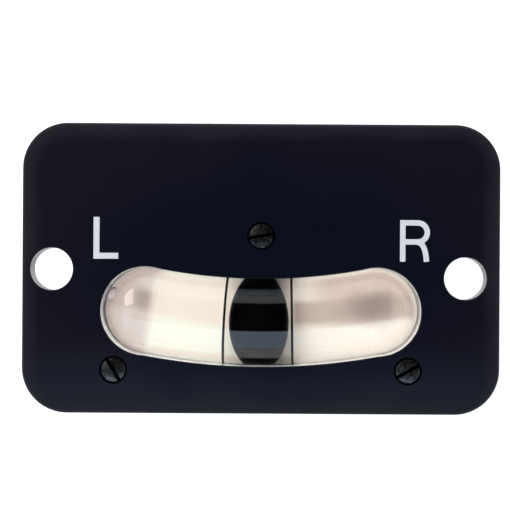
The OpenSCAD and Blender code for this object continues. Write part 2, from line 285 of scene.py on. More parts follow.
lacquer = {
    "deep": (0.0008, 0.0018, 0.0052), "specular": 0.12, "cornerRadius": 5.3 * mm,
    "dull": (0.0032, 0.0026, 0.0062), "dullWeights": (0.9, 0, 1), "dullSpan": (0.45, 0.95),
    "lowerTone": (0.0050, 0.0066, 0.0110), "belowSpan": (-8 * mm, -14 * mm),
    "cloud": {"size": 9 * mm, "detail": 4}, "cloudShift": 0.1,
    "worn": (0.0092, 0.0086, 0.0118), "wornShift": 0.5 * mm,
    "wornBand": (2.2 * mm, 0.2 * mm), "chipBand": 0.32 * mm,      # in from the outline
    "chip": (0.30, 0.30, 0.32), "chipShare": 0.4, "chipDepth": 2.0,     # in grain depths
    "bite": {"size": 0.8 * mm, "detail": 5, "rough": 0.7, "span": (0.66, 0.70)},
    "dust": (0.5, 0.5, 0.5), "dustShare": 0.05,
    "fleck": {"size": 0.35 * mm, "detail": 1, "span": (0.80, 0.86)},
    "wipe": {"size": 1.6 * mm, "detail": 5, "warp": 0.8, "span": (0.3, 0.75)},
    "wipeStretch": (0.25, 1, 1), "rough": (0.37, 0.54),
    "grain": {"size": 0.16 * mm, "detail": 2}, "grainDepth": 0.004 * mm,
}


def lacquerFinish():
    material, tree, shader = newFinish("blackLacquer", specular=lacquer["specular"])
    point = pointOn(tree)
    # Hands have dulled the plate away from its middle. Outer is 0 there and 1 about where
    # the plate ends.
    part = vectorMath(tree, "DIVIDE", point, (plateHigh[0], 1, plateHigh[2]))
    outer = lengthOf(tree, vectorMath(tree, "MULTIPLY", part, lacquer["dullWeights"]))
    cloud = noiseOn(tree, point, **lacquer["cloud"])
    shift = spread(tree, cloud, -lacquer["cloudShift"], lacquer["cloudShift"])
    rubbed = remap(tree, combine(tree, "ADD", outer, shift), *lacquer["dullSpan"])
    # lower down the plate the rubbed tone is bluer and paler
    below = remap(tree, apart(tree, point)[2], *lacquer["belowSpan"])
    dull = between(tree, below, lacquer["dull"], lacquer["lowerTone"])
    tone = between(tree, rubbed, lacquer["deep"], dull)
    # its rounded outline, where reach is the corner radius, is greyer and has chips
    radius = lacquer["cornerRadius"]
    fold = vectorMath(tree, "ABSOLUTE", onFace(tree, point))
    past = vectorMath(tree, "SUBTRACT", fold, (plateHigh[0] - radius, 0, plateHigh[2] - radius))
    reach = lengthOf(tree, vectorMath(tree, "MAXIMUM", past))
    shift = spread(tree, cloud, -lacquer["wornShift"], lacquer["wornShift"])
    worn = remap(tree, combine(tree, "ADD", reach, shift),
                 *(radius - inset for inset in lacquer["wornBand"]))
    tone = between(tree, worn, tone, lacquer["worn"])
    chips = combine(tree, "MULTIPLY", remap(tree, reach, radius - lacquer["chipBand"], radius),
                    patchesOn(tree, point, **lacquer["bite"]))
    dust = patchesOn(tree, point, 0, lacquer["dustShare"], **lacquer["fleck"])
    tone = between(tree, dust, tone, lacquer["dust"])
    bared = combine(tree, "MULTIPLY", chips, lacquer["chipShare"])
    feed(tree, shader, "color", between(tree, bared, tone, lacquer["chip"]))
    wiped = pointOn(tree, stretch=lacquer["wipeStretch"])
    feed(tree, shader, "rough", patchesOn(tree, wiped, *lacquer["rough"], **lacquer["wipe"]))
    height = combine(tree, "SUBTRACT", noiseOn(tree, point, **lacquer["grain"]),
                     combine(tree, "MULTIPLY", chips, lacquer["chipDepth"]))
    addBump(tree, shader, height, lacquer["grainDepth"])
    return material


# Bare aluminium in the plate's openings

bareMetal = {
    "clean": (0.94, 0.92, 0.91), "dark": (0.80, 0.79, 0.78), "metal": 0.25, "anisotropic": 0.3,
    "rough": (0.08, 0.16), "blotch": {"size": 1.4 * mm, "detail": 4},
    "ring": {"size": 0.11 * mm, "detail": 3}, "ringStretch": (0.06, 1, 0.06),
    "ringDepth": 0.004 * mm,
    # a dark painted shade, and how far back on the wall it starts below and above the tube
    "wallShade": (0.010, 0.011, 0.014), "aboveSpan": (-1 * mm, 1 * mm),
    "shadeBelow": -0.4 * mm, "shadeAbove": -1.12 * mm, "shadeSoft": 0.15 * mm,      # in y
    "middleSpan": (3.6 * mm, 5.0 * mm),                                       # in x
}
drilled = {"color": (0.56, 0.55, 0.56), "dark": (0.44, 0.43, 0.44), "rough": (0.42, 0.52)}


def toolRings(tree):
    # lines that run round the wall of an opening
    return noiseOn(tree, pointOn(tree, stretch=bareMetal["ringStretch"]), **bareMetal["ring"])


def bareMetalFinish():
    # Cut aluminium in the window, with tool rings round the wall. Painted shade darkens the rear part of the wall:
    # all along it above the tube, and in the middle below it.
    material, tree, shader = newFinish("cutAluminium", metal=bareMetal["metal"],
                                       anisotropic=bareMetal["anisotropic"])
    point = pointOn(tree)
    parts = apart(tree, point)
    rings = toolRings(tree)
    blotch = noiseOn(tree, point, **bareMetal["blotch"])
    shade = combine(tree, "MULTIPLY", spread(tree, rings), spread(tree, blotch))
    clean = between(tree, shade, bareMetal["dark"], bareMetal["clean"])
    above = remap(tree, heightOver(tree, point), *bareMetal["aboveSpan"])
    run = remap(tree, above, 0, 1, bareMetal["shadeBelow"], bareMetal["shadeAbove"])
    behind = remap(tree, combine(tree, "SUBTRACT", parts[1], run),
                   -bareMetal["shadeSoft"], bareMetal["shadeSoft"])
    aside = combine(tree, "ABSOLUTE", parts[0])
    where = combine(tree, "MAXIMUM", above, remap(tree, aside, *bareMetal["middleSpan"], 1, 0))
    # painted shade on the rear part of the wall
    wallShadeShare = combine(tree, "MULTIPLY", behind, where)
    feed(tree, shader, "color", between(tree, wallShadeShare, clean, bareMetal["wallShade"]))
    feed(tree, shader, "rough", spread(tree, blotch, *bareMetal["rough"]))
    addBump(tree, shader, rings, bareMetal["ringDepth"])
    return material


def holeWallFinish():
    # drilled aluminium gone dull
    material, tree, shader = newFinish("drilledAluminium", metal=1.0)
    rings = toolRings(tree)
    shade = between(tree, spread(tree, rings), drilled["dark"], drilled["color"])
    feed(tree, shader, "color", shade)
    feed(tree, shader, "rough", spread(tree, rings, *drilled["rough"]))
    addBump(tree, shader, rings, bareMetal["ringDepth"])
    return material


# The pod's plastic, spark-eroded and scuffed, and the silicone seal

housing = {
    "even": {"specular": 0.45}, "color": (0.012, 0.012, 0.014), "mottled": (0.035, 0.035, 0.037),
    "mottle": {"size": 2.2 * mm, "detail": 6, "rough": 0.7, "warp": 1.2},
    "colorSpan": (0.52, 0.68), "roughSpan": (0.52, 0.68), "rough": (0.55, 0.70),
    "grain": {"size": 0.11 * mm, "detail": 2, "rough": 0.6}, "grainDepth": 0.012 * mm,
}
seal = {
    # the black is painted shade, in the middle of the seal's run
    "color": (0.70, 0.66, 0.62), "bloomed": (0.52, 0.48, 0.45), "middleShade": (0.02, 0.02, 0.02),
    "bloom": {"size": 0.96 * mm, "detail": 5, "rough": 0.6, "span": (0.4, 0.75)},
    "specular": 0.25, "rough": (0.7, 0.9),
    "grain": {"size": 0.12 * mm, "detail": 3}, "grainDepth": 0.008 * mm,
}


def sealFinish():
    # pale silicone with a bloom on it, and black painted shade in the middle of its run
    material, tree, shader = newFinish("sealRubber", specular=seal["specular"])
    point = pointOn(tree)
    bloom = patchesOn(tree, point, **seal["bloom"])
    clean = between(tree, bloom, seal["color"], seal["bloomed"])
    aside = combine(tree, "ABSOLUTE", apart(tree, point)[0])
    aside = remap(tree, aside, *bareMetal["middleSpan"])
    feed(tree, shader, "color", between(tree, aside, seal["middleShade"], clean))
    feed(tree, shader, "rough", remap(tree, bloom, 0, 1, *seal["rough"]))
    addGrain(tree, shader, point, seal)
    return material


# Glass and liquid

glass = {"color": (0.985, 0.995, 0.99, 1), "ior": 1.7, "coat": 0.35, "coatRough": 0.02,
         "wipe": {"size": 2.5 * mm, "detail": 5, "warp": 0.6, "span": (0.5, 0.8)},
         "wipeStretch": (0.3, 1, 1), "haze": 0.012}
wetted = {"bore": (1, 1, 1), "liquid": (0.985, 0.965, 0.93), "haze": 0.01,
          "streak": {"size": 3 * mm, "detail": 2}, "streakSpan": (0.55, 0.9)}
# painted shade on the front of the bore, right of the ball: deep below a higher level line and paler above it
boreShade = {
    "deepShade": (0.43, 0.34, 0.335), "paleShade": (0.54, 0.41, 0.39),
    "startSpan": (3.3 * mm, 4.4 * mm), "paleShadeSpan": (3.6 * mm, 8.6 * mm),    # in x
    "backSpan": (1.6 * mm, 2.2 * mm),                                       # in y
    "levelSpan": (-7.05 * mm, -5.95 * mm), "upperSpan": (-4.6 * mm, -3.8 * mm),   # in z
    "waves": 0.12 * mm, "climb": 0.75 * mm, "climbSpan": (9 * mm, 16 * mm),
}
# darker patches: one on the shade at the right, and one at the left end
darkPatches = [
    {"middle": (12.9 * mm, -0.9 * mm, -4.5 * mm), "half": (4.2 * mm, 2 * mm, 2.1 * mm),
     "turn": math.radians(4), "color": (0.137, 0.108, 0.112)},
    {"middle": (-13.9 * mm, -0.9 * mm, -3.7 * mm), "half": (1.0 * mm, 2 * mm, 1.3 * mm),
     "turn": 0, "color": (0.58, 0.62, 0.60)},
]
darkPatchEdge = {"span": (1.3, 0.2), "ragged": 0.1}     # in half sizes of the patch


def glassFinish():
    material, tree, shader = newFinish("tubeGlass", color=glass["color"], clear=1.0,
                                       ior=glass["ior"], coat=glass["coat"],
                                       coatRough=glass["coatRough"])
    wiped = pointOn(tree, stretch=glass["wipeStretch"])
    feed(tree, shader, "rough", patchesOn(tree, wiped, 0, glass["haze"], **glass["wipe"]))
    letLampsThrough(tree, shader)
    return material


def paintedBoreShade(tree, streak, color):
    # Painted shade on the front of the bore, right of the ball, down to a level line that climbs at the right end.
    # It is paler above a higher level. Darker patches lie on it and at the left end.
    x, y, z = apart(tree, pointOn(tree))
    waves = spread(tree, streak, -boreShade["waves"], boreShade["waves"])
    climb = remap(tree, x, *boreShade["climbSpan"], 0, -boreShade["climb"])
    level = combine(tree, "ADD", z, combine(tree, "ADD", waves, climb))
    upper = remap(tree, level, *boreShade["upperSpan"], smooth=True)
    paleShade = between(tree, remap(tree, x, *boreShade["paleShadeSpan"], smooth=True), color, boreShade["paleShade"])
    shadeShare = combine(tree, "MULTIPLY", remap(tree, x, *boreShade["startSpan"], smooth=True),
                     remap(tree, y, *boreShade["backSpan"], 1, 0))
    shadeShare = combine(tree, "MULTIPLY", shadeShare, remap(tree, level, *boreShade["levelSpan"], smooth=True))
    color = between(tree, shadeShare, color, between(tree, upper, boreShade["deepShade"], paleShade))
    for darkPatch in darkPatches:
        place = pointOn(tree, darkPatch["middle"], (0, darkPatch["turn"], 0))
        away = lengthOf(tree, vectorMath(tree, "DIVIDE", place, darkPatch["half"]))
        ragged = spread(tree, streak, -darkPatchEdge["ragged"], darkPatchEdge["ragged"])
        away = combine(tree, "ADD", away, ragged)
        color = between(tree, remap(tree, away, *darkPatchEdge["span"], smooth=True), color,
                        darkPatch["color"])
    return color


def wettedGlassFinish(name, color, withShade=False):
    # glass meets liquid of the same bending power, so this face hardly shines
    material, tree, shader = newFinish(name, color=(*color, 1), clear=1.0, ior=glass["ior"],
                                       tint=(0, 0, 0, 1))
    streak = noiseOn(tree, pointOn(tree), **wetted["streak"])
    feed(tree, shader, "rough", remap(tree, streak, *wetted["streakSpan"], 0, wetted["haze"]))
    if withShade:
        feed(tree, shader, "color", paintedBoreShade(tree, streak, color))
    letLampsThrough(tree, shader)
    return material


# White paint and foam behind the tube, creamy, with a streak of painted shade and darker ends

creamAndShade = {
    # the streak tones are painted shade; the clean tones lie above and below it
    "streak": {"left": (0.95, 0.85, 0.77), "right": (0.96, 0.88, 0.81),
               "leftEnd": (0.68, 0.56, 0.53), "rightEnd": (0.84, 0.76, 0.69)},
    "clean": {"left": (0.97, 0.96, 0.87), "right": (0.97, 0.90, 0.83),
              "leftEnd": (0.79, 0.70, 0.66), "rightEnd": (0.86, 0.78, 0.71)},
    "rightSpan": (-3.0 * mm, 6.0 * mm),
    "leftEndSpan": (-13.1 * mm, -14.4 * mm), "rightEndSpan": (12.0 * mm, 15.0 * mm),
    "belowStreakSpan": (-0.32 * mm, -0.50 * mm), "overStreakSpan": (0.03 * mm, 0.16 * mm),
    "patch": {"size": 5 * mm, "detail": 4, "rough": 0.5}, "drift": 1.2 * mm,
    "speck": (0.34, 0.27, 0.25), "speckShare": 0.2,
    "speckle": {"size": 0.3 * mm, "detail": 2, "span": (0.70, 0.78)},
    "specular": 0.2,
}
linerPaint = {"rough": (0.6, 0.8),
              "grain": {"size": 0.09 * mm, "detail": 3}, "grainDepth": 0.006 * mm}
cushionFoam = {"rough": (0.75, 0.95),
               "grain": {"size": 0.18 * mm, "detail": 3}, "grainDepth": 0.02 * mm}


def creamWithShade(tree, point):
    # A streak of painted shade runs just below the tube's centre line, and both ends are darker.
    # Returns the colour and the patches that its borders drift with.
    x = apart(tree, point)[0]
    height = heightOver(tree, point)
    patch = noiseOn(tree, point, **creamAndShade["patch"])
    drift = combine(tree, "ADD", x, spread(tree, patch, -creamAndShade["drift"], creamAndShade["drift"]))
    rightSide = remap(tree, drift, *creamAndShade["rightSpan"], smooth=True)
    leftEnd = remap(tree, x, *creamAndShade["leftEndSpan"], smooth=True)
    rightEnd = remap(tree, drift, *creamAndShade["rightEndSpan"], smooth=True)

    def alongTube(tones):
        tone = between(tree, rightSide, tones["left"], tones["right"])
        tone = between(tree, leftEnd, tone, tones["leftEnd"])
        return between(tree, rightEnd, tone, tones["rightEnd"])

    clean = combine(tree, "MAXIMUM",
                    remap(tree, height, *creamAndShade["belowStreakSpan"], smooth=True),
                    remap(tree, height, *creamAndShade["overStreakSpan"], smooth=True))
    white = between(tree, clean, alongTube(creamAndShade["streak"]), alongTube(creamAndShade["clean"]))
    speck = patchesOn(tree, point, 0, creamAndShade["speckShare"], **creamAndShade["speckle"])
    return between(tree, speck, white, creamAndShade["speck"]), patch


def creamShadeFinish(name, spec):
    material, tree, shader = newFinish(name, specular=creamAndShade["specular"])
    point = pointOn(tree)
    white, patch = creamWithShade(tree, point)
    feed(tree, shader, "color", white)
    feed(tree, shader, "rough", spread(tree, patch, *spec["rough"]))
    addGrain(tree, shader, point, spec)
    return material


# The ball's black glass, with swirls, and the marker wires' enamel, rubbed in places

ballGlass = {
    "even": {"specular": 0.04},
    "color": (0.0004, 0.0004, 0.0008), "mottled": (0.001, 0.001, 0.0015),
    "mottle": {"size": 1.8 * mm, "detail": 4, "warp": 1.5},
    "colorSpan": (0, 1), "roughSpan": noiseSpan, "rough": (0.35, 0.45),
    "grain": {"size": 0.2 * mm, "detail": 2}, "grainDepth": 0.001 * mm,
}
enamel = {
    "even": {"specular": 0.5}, "color": (0.004, 0.004, 0.005), "mottled": (0.02, 0.016, 0.013),
    "mottle": {"size": 0.5 * mm, "detail": 5, "rough": 0.7},
    "colorSpan": (0.55, 0.75), "roughSpan": (0.55, 0.75), "rough": (0.22, 0.5),
    "grain": {"size": 0.08 * mm, "detail": 2}, "grainDepth": 0.002 * mm,
}


# Screws and washers of browned steel, and inserts of tarnished brass

screwSteel = {"color": (0.15, 0.145, 0.14), "browned": (0.03, 0.03, 0.034),
              "wornSpan": (0.42, 0.60), "rough": (0.30, 0.52)}
washerSteel = {"color": (0.45, 0.45, 0.46), "browned": (0.16, 0.15, 0.14),
               "wornSpan": (0.40, 0.58), "rough": (0.27, 0.49)}
steel = {"worn": {"size": 0.45 * mm, "detail": 6, "rough": 0.65, "warp": 0.5},
         "scratch": {"size": 0.05 * mm, "detail": 3}, "scratchDepth": 0.004 * mm,
         "scratchTurn": (0, 0.6, 0), "scratchStretch": (0.08, 1, 1), "anisotropic": 0.2}
# the head's dome, and a painted shade deeper than the head's top
screwHead = {"crown": 6 * mm, "slotShade": (0.006, 0.006, 0.007), "slotShadeSpan": (0.06 * mm, 0.2 * mm)}
brass = {
    "even": {"metal": 1.0}, "color": (0.62, 0.42, 0.15), "mottled": (0.30, 0.19, 0.07),
    "mottle": {"size": 0.8 * mm, "detail": 5},
    "colorSpan": (0.4, 0.7), "roughSpan": (0.4, 0.7), "rough": (0.3, 0.55),
    "grain": {"size": 0.1 * mm, "detail": 3}, "grainDepth": 0.004 * mm,
}
screwPlaces = ("top", "left", "right")
screwMiddles = [sum(np.array(corner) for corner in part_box("case_screw_" + place)) / 2
                for place in screwPlaces]
screwTop = float(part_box("case_screw_top")[0][1])


def crownOf(tree, point):
    # height of a shallow dome over each screw head: minus the square of the distance from
    # the nearest middle, over twice the dome's radius
    near = None
    for middle in screwMiddles:
        away = lengthOf(tree, onFace(tree, vectorMath(tree, "SUBTRACT", point, middle)))
        near = away if near is None else combine(tree, "MINIMUM", near, away)
    square = combine(tree, "MULTIPLY", near, near)
    return combine(tree, "MULTIPLY", square, -0.5 / screwHead["crown"])


def steelFinish(name, spec, crowned=False):
    # browned steel, with the brown worn off in patches and fine scratches along one way
    material, tree, shader = newFinish(name, metal=1.0, anisotropic=steel["anisotropic"])
    point = pointOn(tree)
    worn = patchesOn(tree, point, span=spec["wornSpan"], **steel["worn"])
    shade = between(tree, worn, spec["browned"], spec["color"])
    scratched = pointOn(tree, turn=steel["scratchTurn"], stretch=steel["scratchStretch"])
    scratch = noiseOn(tree, scratched, **steel["scratch"])
    height = combine(tree, "MULTIPLY", scratch, steel["scratchDepth"])
    if crowned:
        # painted shade fills the slot and the side of the head
        depth = combine(tree, "SUBTRACT", apart(tree, point)[1], screwTop)
        shade = between(tree, remap(tree, depth, *screwHead["slotShadeSpan"]), shade,
                        screwHead["slotShade"])
        height = combine(tree, "ADD", height, crownOf(tree, point))
    feed(tree, shader, "color", shade)
    feed(tree, shader, "rough", spread(tree, scratch, *spec["rough"]))
    addBump(tree, shader, height, 1.0)      # this height is in metres already
    return material


# The plug's cloudy resin, and the side marks' screen-printed paint, thin in places

resin = {
    "even": {"specular": 0.5, "coat": 0.3, "coatRough": 0.15},
    "color": (0.56, 0.46, 0.45), "mottled": (0.66, 0.56, 0.53),
    "mottle": {"size": 0.6 * mm, "detail": 4},
    "colorSpan": noiseSpan, "roughSpan": noiseSpan, "rough": (0.3, 0.5),
    "grain": {"size": 0.1 * mm, "detail": 2}, "grainDepth": 0.003 * mm,
}
markPaint = {
    "even": {"specular": 0.4}, "color": (0.41, 0.42, 0.44), "mottled": (0.37, 0.38, 0.40),
    "mottle": {"size": 0.7 * mm, "detail": 4},
    "colorSpan": (0.35, 0.7), "roughSpan": noiseSpan, "rough": (0.5, 0.65),
    "grain": {"size": 0.06 * mm, "detail": 2}, "grainDepth": 0.004 * mm,
}

finishes = {
    "plate": lacquerFinish(),
    "cut": bareMetalFinish(),
    "drilled": holeWallFinish(),
    "housing": mottledFinish("mouldedPlastic", housing),
    "seal": sealFinish(),
    "glass": glassFinish(),
    "bore": wettedGlassFinish("boreGlass", wetted["bore"], withShade=True),
    "liquid": wettedGlassFinish("liquid", wetted["liquid"]),
    "ball": mottledFinish("ballGlass", ballGlass),
    "enamel": mottledFinish("wireEnamel", enamel),
    "liner": creamShadeFinish("linerPaint", linerPaint),
    "cushion": creamShadeFinish("cushionFoam", cushionFoam),
    "screw": steelFinish("burnishedSteel", screwSteel, crowned=True),
    "washer": steelFinish("washerSteel", washerSteel),
    "brass": mottledFinish("insertBrass", brass),
    "resin": mottledFinish("plugResin", resin),
    "mark": mottledFinish("markPaint", markPaint),
}
print("finishes made:", len(finishes))


# CAD nodes. Those that a finer piece replaces below get their finish too.

dress = {
    "rear_housing": "housing", "window_gasket": "seal", "ball": "ball", "reflector": "liner",
    "marker_wire_left": "enamel", "marker_wire_right": "enamel", "front_plate": "plate",
    "glass_tube": "glass", "damping_fluid": "liquid", "fill_plug": "resin",
    "tube_cushion_left": "cushion", "tube_cushion_right": "cushion",
}
for place in screwPlaces:
    dress["case_screw_" + place] = "screw"
    dress["lock_washer_" + place] = "washer"
    dress["thread_insert_" + place] = "brass"
corners = {"weld": 0.0005 * mm, "split": math.radians(32),
           "bevel": 0.03 * mm, "bevelSteps": 2, "bevelFrom": math.radians(35)}


def dressNode(name):
    # CAD meshes are loose triangles: weld them, and split them again at real corners only
    node = nodes[name]
    node.data.materials.clear()
    node.data.materials.append(finishes[dress[name]])
    node.data.polygons.foreach_set("use_smooth", [True] * len(node.data.polygons))
    node.data.polygons.foreach_set("material_index", [0] * len(node.data.polygons))
    weld = node.modifiers.new("weld", "WELD")
    weld.merge_threshold = corners["weld"]
    if name.startswith("case_screw"):
        bevel = node.modifiers.new("edges", "BEVEL")
        bevel.width = corners["bevel"]
        bevel.segments = corners["bevelSteps"]
        bevel.limit_method = "ANGLE"
        bevel.angle_limit = corners["bevelFrom"]
    split = node.modifiers.new("corners", "EDGE_SPLIT")
    split.split_angle = corners["split"]


for name in nodes:
    dressNode(name)

walls = {"slack": 0.1 * mm, "rim": 0.5 * mm, "holesUpTo": 5 * mm, "steep": 0.5}


def bareWalls():
    # The walls of the window and of the mounting holes show cut metal. A face is on a wall
    # if it looks sideways, and its distance from the arc or from a hole says which wall.
    plate = nodes["front_plate"]
    plate.data.materials.append(finishes["cut"])
    plate.data.materials.append(finishes["drilled"])
    count = len(plate.data.polygons)
    centres, normals = np.zeros(count * 3), np.zeros(count * 3)
    plate.data.polygons.foreach_get("center", centres)
    plate.data.polygons.foreach_get("normal", normals)
    x, y, z = centres.reshape(-1, 3).T
    wall = np.abs(normals.reshape(-1, 3)[:, 1]) < walls["steep"]
    holes = next(m for m in frame["record"]["mounts"] if m["kind"] == "bolt_pattern")
    fromMiddle = np.hypot(x - holes["pos_m"][0], z - holes["pos_m"][2])
    fromHole = np.abs(fromMiddle - holes["dims"]["pcd_mm"] * mm / 2)
    inHole = fromHole < holes["dims"]["hole_r_mm"] * mm + walls["slack"]
    inHole &= (np.abs(x) < plateHigh[0] - walls["rim"]) & (np.abs(z) < walls["holesUpTo"])
    fromArc = np.hypot(x - arcCentre[0], z - arcCentre[2])
    inWindow = (np.abs(fromArc - arcRadius) < tubeRadius) & (np.abs(x) < tubeHigh[0])
    which = np.where(wall & inHole, 2, np.where(wall & inWindow, 1, 0))
    plate.data.polygons.foreach_set("material_index", which.tolist())


bareWalls()
print("CAD nodes dressed")


# The tube and the liquid. The liquid is drawn a hair larger than the bore, so that a ray
# enters it before it leaves the glass, and is bent as in one clear rod.

tube = {"wall": 1.75 * mm, "overlap": 0.03 * mm,
        "sides": 224, "capRings": 34, "outerRings": 64, "boreRings": 48}
boreRadius = tubeRadius - tube["wall"]


def roundRod(radius, bodyRings):
    # A rod with round ends along the arc. Between the end centres its rings are circles of
    # the full radius; past them they slide out by the sine and shrink by the cosine.
    lean = np.linspace(-np.pi / 2, 0, tube["capRings"] + 1)[1:-1]
    flat = np.zeros(bodyRings)
    angle = np.concatenate([np.full(lean.size, -halfAngle),
                            np.linspace(-halfAngle, halfAngle, bodyRings),
                            np.full(lean.size, halfAngle)])
    slide = radius * np.concatenate([np.sin(lean), flat, -np.sin(lean[::-1])])
    shrink = radius * np.concatenate([np.cos(lean), flat + 1, np.cos(lean[::-1])])
    outward, along = directions(angle)
    turn = np.linspace(0, 2 * np.pi, tube["sides"], endpoint=False)[None, :, None]
    centres = arcCentre + arcRadius * outward + slide[:, None] * along
    spokes = np.cos(turn) * outward[:, None] + np.sin(turn) * backward
    rings = centres[:, None] + shrink[:, None, None] * spokes
    ends, tangents = directions([-halfAngle, halfAngle])
    tips = arcCentre + arcRadius * ends + radius * np.array([[-1], [1]]) * tangents
    return rings, tips


outside = loft(*roundRod(tubeRadius, tube["outerRings"]))
bore = loft(*roundRod(boreRadius, tube["boreRings"]), material=1, inward=True)
makePiece("glassTube", [outside, bore], [finishes["glass"], finishes["bore"]],
          ["glass_tube"])
liquid = loft(*roundRod(boreRadius + tube["overlap"], tube["boreRings"]))
makePiece("dampingLiquid", [liquid], [finishes["liquid"]],
          ["damping_fluid"])
print("tube and liquid made")


# The resin plug in the filling hole at the left end

plug = {"radius": 0.6 * mm, "rise": 0.55 * mm, "inner": 2.81 * mm, "outer": 5.378 * mm,
        "dome": 0.22 * mm, "fillet": 0.12 * mm, "tip": 0.004, "filed": 0.3, "taper": 0.14,
        "rings": 28, "sides": 64}


def plugSolid():
    # Rings along the plug's own axis, closer together at the inner end. That end is a
    # shallow dome: its radius falls with the root of the distance left, so the edge rolls
    # over. The outer end is filed flat.
    run = np.linspace(0, 1, plug["rings"])
    place = plug["inner"] + (plug["outer"] - plug["inner"]) * run ** 2
    fall = np.clip((place - plug["inner"]) / plug["dome"], plug["tip"], 1)
    tail = np.clip((plug["outer"] - place) / plug["fillet"], plug["filed"], 1)
    narrowing = 1 - plug["taper"] + plug["taper"] * tail
    radius = plug["radius"] * np.sqrt(1 - (1 - fall) ** 2) * narrowing
    outward, along = directions(-halfAngle)
    axis = arcCentre + arcRadius * outward - plug["rise"] * outward
    centres = axis - place[:, None] * along
    turn = np.linspace(0, 2 * np.pi, plug["sides"], endpoint=False)
    spokes = np.cos(turn)[:, None] * outward + np.sin(turn)[:, None] * backward
    rings = centres[:, None] + radius[:, None, None] * spokes[None]
    return loft(rings, centres[[0, -1]])


makePiece("fillPlugResin", [plugSolid()], [finishes["resin"]], ["fill_plug"])


# Soft cups under the tube's round ends

cup = {"inner": 5.59 * mm, "outer": 6.27 * mm, "wrap": math.radians(60),
       "lipPower": 7, "lipLeast": 0.12, "rows": 40, "columns": 56,
       "apron": 0.9 * mm, "apronInner": 5.845 * mm, "apronOuter": 5.862 * mm, "apronRows": 12}


def lipSwell(share):
    # superellipse: 1 over most of the wall, falling to 0 where share is 1 or -1
    return (1 - np.abs(share) ** cup["lipPower"]) ** (1 / cup["lipPower"])


def cupSolid(side):
    # Half of a bowl. A square grid is mapped to half a disc, the disc's radius becomes the
    # angle from straight back, and the wall swells from its lips by a superellipse. On the
    # flat side a thin apron runs on over the liner, so that no seam shows.
    run = np.linspace(-1, 0, cup["apronRows"], endpoint=False)[:, None]
    s = np.vstack([0 * run, np.sin(np.linspace(0, np.pi / 2, cup["rows"]))[:, None]])
    run = np.vstack([run, np.zeros((cup["rows"], 1))])
    t = np.sin(np.linspace(-np.pi / 2, np.pi / 2, cup["columns"]))[None, :]
    outX = s * np.sqrt(1 - t ** 2 / 2)
    outZ = t * np.sqrt(1 - s ** 2 / 2)
    reach = np.hypot(outX, outZ) + 1e-9     # never quite 0, so that it can divide
    lean = cup["wrap"] * reach
    outward, along = directions(side * halfAngle)
    flat = (outX / reach)[..., None] * along * side + (outZ / reach)[..., None] * outward
    ray = np.cos(lean)[..., None] * backward + np.sin(lean)[..., None] * flat
    swell = np.clip(lipSwell(s) * lipSwell(t), cup["lipLeast"], 1)[..., None]
    middle, half = (cup["inner"] + cup["outer"]) / 2, (cup["outer"] - cup["inner"]) / 2
    ease = (-run * (2 + run))[..., None]
    inner = (middle - half * swell) * (1 - ease) + cup["apronInner"] * ease
    outer = np.where(run[..., None] < 0, cup["apronOuter"], middle + half * swell)
    centre = arcCentre + arcRadius * outward + (side * cup["apron"] * run)[..., None] * along
    return pad(centre + ray * inner, centre + ray * outer)


for side, word in ((-1, "Left"), (1, "Right")):
    makePiece("tubeCushion" + word, [cupSolid(side)], [finishes["cushion"]],
              ["tube_cushion_" + word.lower()])
print("plug and cushions made")


# The side marks: strokes of printed paint on the plate, joined into one skin each. Points
# are x and z in millimetres, on the strokes' middle lines.

marks = {
    "leftStroke": 0.70 * mm, "rightStroke": 0.64 * mm,
    "proud": 0.03 * mm, "sunk": 0.05 * mm, "soft": 0.05 * mm,
    "leftStem": [(-19.28, 5.97), (-19.28, 1.07)],
    "leftFoot": [(-19.6, 1.42), (-16.72, 1.42)],
    "rightStem": [(16.57, 0.94), (16.57, 5.80)],
    "rightTop": 5.48, "rightWaist": 3.25, "bowlFrom": 16.57, "bowlTurn": 18.32,
    "leg": [(18.10, 3.25), (18.98, 3.22), (19.22, 2.45), (19.36, 0.94)],
    "straightPoints": 8, "bowlPoints": 40, "legPoints": 32,
}


def strokeSolid(line, width):
    # A flat bar carried along the line: its section is square at the back and has two small
    # chamfers at the front.
    line = np.asarray(line) * mm
    step = np.gradient(line, axis=0)
    step /= np.linalg.norm(step, axis=1)[:, None]
    sideways = np.stack([-step[:, 1], step[:, 0]], axis=1)
    half, soft = width / 2, marks["soft"]
    front, back = plateFace - marks["proud"], plateFace + marks["sunk"]
    section = np.array([(-half, back), (-half, front + soft / 2), (soft - half, front),
                        (half - soft, front), (half, front + soft / 2), (half, back)])
    flat = line[:, None] + sideways[:, None] * section[None, :, :1]
    deep = np.broadcast_to(section[None, :, 1], flat.shape[:2])
    rings = np.stack([flat[..., 0], deep, flat[..., 1]], axis=-1)
    return loft(rings, rings[[0, -1]].mean(axis=1))


def straight(ends):
    # evenly spaced points from one end to the other
    share = np.linspace(0, 1, marks["straightPoints"])[:, None]
    return np.array(ends[0]) * (1 - share) + np.array(ends[1]) * share


def bowlLine():
    # out along the top, half a circle round, and back along the waist
    top, waist = marks["rightTop"], marks["rightWaist"]
    turn = np.linspace(np.pi / 2, -np.pi / 2, marks["bowlPoints"])[:, None]
    bend = np.hstack([marks["bowlTurn"] + (top - waist) / 2 * np.cos(turn),
                      (top + waist) / 2 + (top - waist) / 2 * np.sin(turn)])
    there = straight([(marks["bowlFrom"], top), tuple(bend[0])])[:-1]
    home = straight([tuple(bend[-1]), (marks["bowlFrom"], waist)])[1:]
    return np.vstack([there, bend, home])


